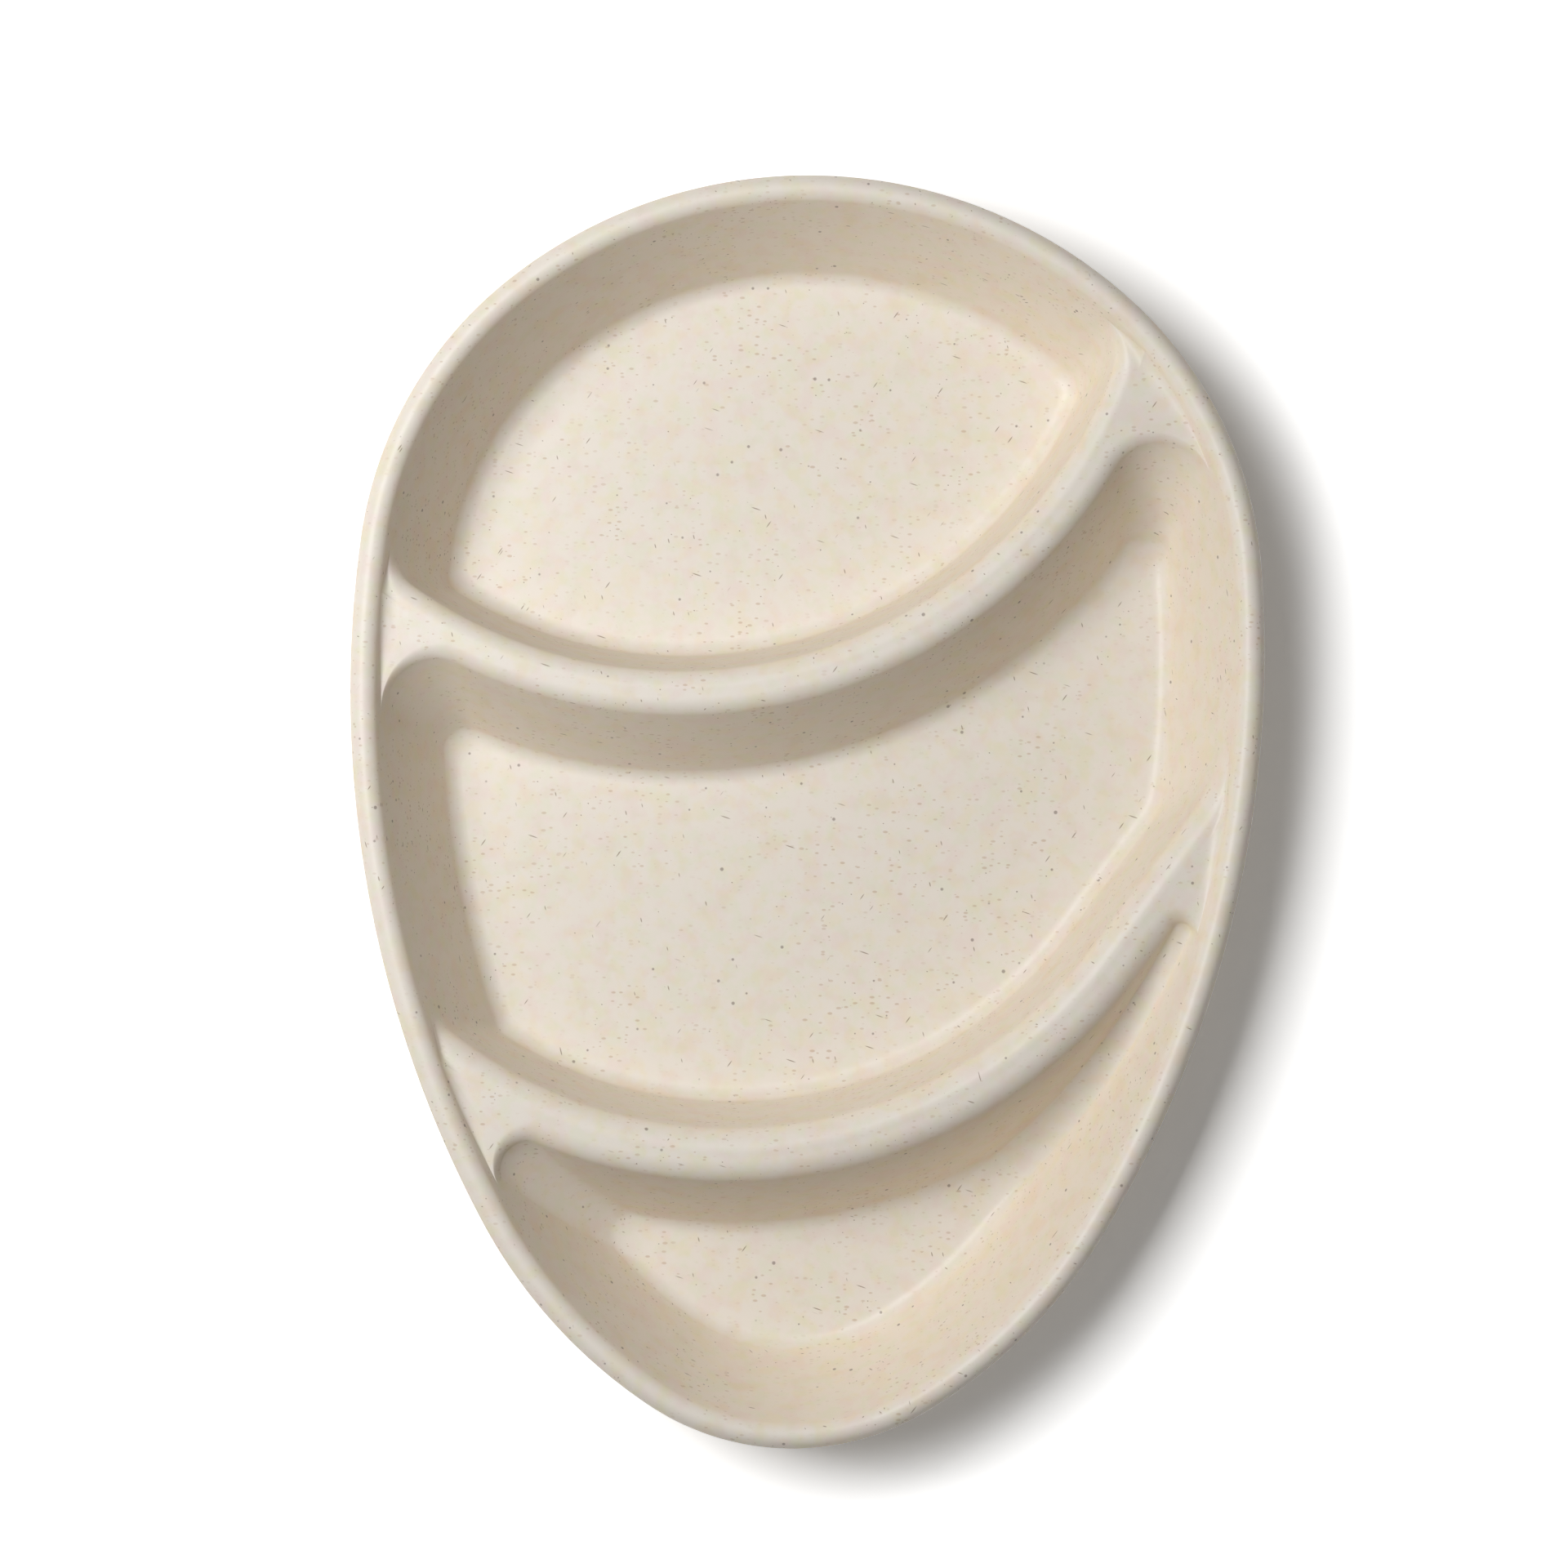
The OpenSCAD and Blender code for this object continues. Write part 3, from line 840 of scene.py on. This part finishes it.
def scattered_fibres(shader, place, turn, share):
    """Fibres along one direction, on a share of the cells of a stretched field."""
    turned = shader.node("ShaderNodeMapping", None, {"Vector": place, "Rotation": turn})
    slim = shader.node("ShaderNodeMapping", None, {"Vector": turned, "Scale": FIBRE_STRETCH})
    distance, number = shader.cells(slim, 1)
    return distance.ramp(FIBRE_REACH, FIBRE_REACH / 2) * number.ramp(1 - share, 1 - 0.8 * share)


def moulding_finish():
    """Satin cream moulding, mottled, with a painted sheen that greys it where level, and with
    specks and fibres pressed in.
    """
    shader = Shader("moulding")
    place = shader.node("ShaderNodeTexCoord", output="Object")
    level = shader.node("ShaderNodeAttribute", {"attribute_name": "level"}, output="Fac")
    # Painted sheen: level surfaces are mixed towards a greyer tone in place of overhead light
    # reflected in the satin
    colour = shader.mix(level.ramp(SHEEN_PAINT_START, 1) * SHEEN_PAINT_STRENGTH, CREAM, SHEEN_PAINT_TONE)
    for grain, tint in MOTTLES:
        mottle = shader.noise(place, grain, 3).ramp(MOTTLE_START, MOTTLE_FULL)
        colour = shader.mix(mottle, colour, tint, "MULTIPLY")
    clusters = shader.noise(place, CLUSTER_GRAIN, 3).ramp(CLUSTER_START, CLUSTER_FULL)
    drawn_out = shader.node("ShaderNodeMapping", None, {"Vector": place, "Scale": RUST_STRETCH})
    rust = scattered_specks(shader, drawn_out, *RUST_SPECKS)
    colour = shader.mix(rust * (LOOSE_RUST + CLUSTERED_RUST * clusters), colour, RUST)
    for turn in FIBRE_TURNS:
        fibres = scattered_fibres(shader, place, turn, FIBRE_SHARE)
        colour = shader.mix(fibres * FIBRE_STRENGTH, colour, FIBRE)
    specks = scattered_specks(shader, place, *DARK_SPECKS)
    colour = shader.mix(specks * SPECK_STRENGTH, colour, SPECK)
    grain = shader.noise(place, BUMP_GRAIN, 3)
    relief = {"Height": grain, "Distance": BUMP_HEIGHT, "Strength": BUMP_STRENGTH}
    surface = shader.node(
        "ShaderNodeBsdfPrincipled",
        None,
        {
            "Base Color": colour,
            "Roughness": ROUGHNESS + ROUGHNESS_SPREAD * shader.noise(place, GLOSS_GRAIN),
            "Specular IOR Level": SPECULAR,
            "Coat Weight": COAT,
            "Coat Roughness": COAT_ROUGHNESS,
            "Normal": shader.node("ShaderNodeBump", None, relief),
        },
    )
    return shader.surface(surface)


def ground_finish():
    """Ground that is seen evenly white, because its colour rises as the near lamp falls off."""
    shader = Shader("white_ground")
    plain = shader.node("ShaderNodeBsdfDiffuse", None, {"Color": GROUND_COLOUR})
    place = shader.node("ShaderNodeTexCoord", output="Object")
    ends = {0: place, 1: LAMP_PLACE}
    reach = shader.node("ShaderNodeVectorMath", {"operation": "DISTANCE"}, ends, "Value")
    far = reach / LAMP_PLACE.z
    seen = shader.node("ShaderNodeBsdfDiffuse", None, {"Color": GROUND_WHITE * far * far * far})
    rays = ("Is Camera Ray", "Is Glossy Ray", "Is Transmission Ray")
    camera, glossy, clear = (shader.node("ShaderNodeLightPath", output=ray) for ray in rays)
    shaders = {0: camera + glossy + clear, 1: plain, 2: seen}
    return shader.surface(shader.node("ShaderNodeMixShader", None, shaders))


def build_ground():
    bm = bmesh.new()
    bmesh.ops.create_grid(bm, x_segments=1, y_segments=1, size=GROUND_REACH)
    mesh = bpy.data.meshes.new("ground")
    bm.to_mesh(mesh)
    bm.free()
    mesh.materials.append(ground_finish())
    ground = bpy.data.objects.new("ground", mesh)
    bpy.context.scene.collection.objects.link(ground)


def light_scene():
    world = bpy.data.worlds.new("soft_room")
    bpy.context.scene.world = world
    world.use_nodes = True
    world.node_tree.nodes["Background"].inputs["Color"].default_value = (1, 1, 1, 1)
    world.node_tree.nodes["Background"].inputs["Strength"].default_value = ROOM_SHARE
    lamp = bpy.data.lights.new("softbox", "AREA")
    lamp.size = LAMP_SIZE
    lamp.energy = LAMP_SHARE * math.pi**2 * LAMP_PLACE.length**3 / LAMP_PLACE.z
    softbox = bpy.data.objects.new("softbox", lamp)
    softbox.location = LAMP_PLACE
    softbox.rotation_euler = LAMP_PLACE.to_track_quat("Z", "Y").to_euler()
    bpy.context.scene.collection.objects.link(softbox)


def place_camera():
    camera = bpy.data.cameras.new("overhead")
    camera.sensor_width = SENSOR
    camera.lens = SENSOR * CAMERA_DISTANCE / VIEW_WIDTH
    eye = bpy.data.objects.new("overhead", camera)
    eye.location = (*VIEW_CENTRE, TRAY_H + CAMERA_DISTANCE)
    eye.rotation_euler = (0, 0, CAMERA_ROLL)
    bpy.context.scene.collection.objects.link(eye)
    bpy.context.scene.camera = eye


build_tray(moulding_finish())
build_ground()
light_scene()
place_camera()
bpy.context.scene.view_settings.view_transform = "Standard"
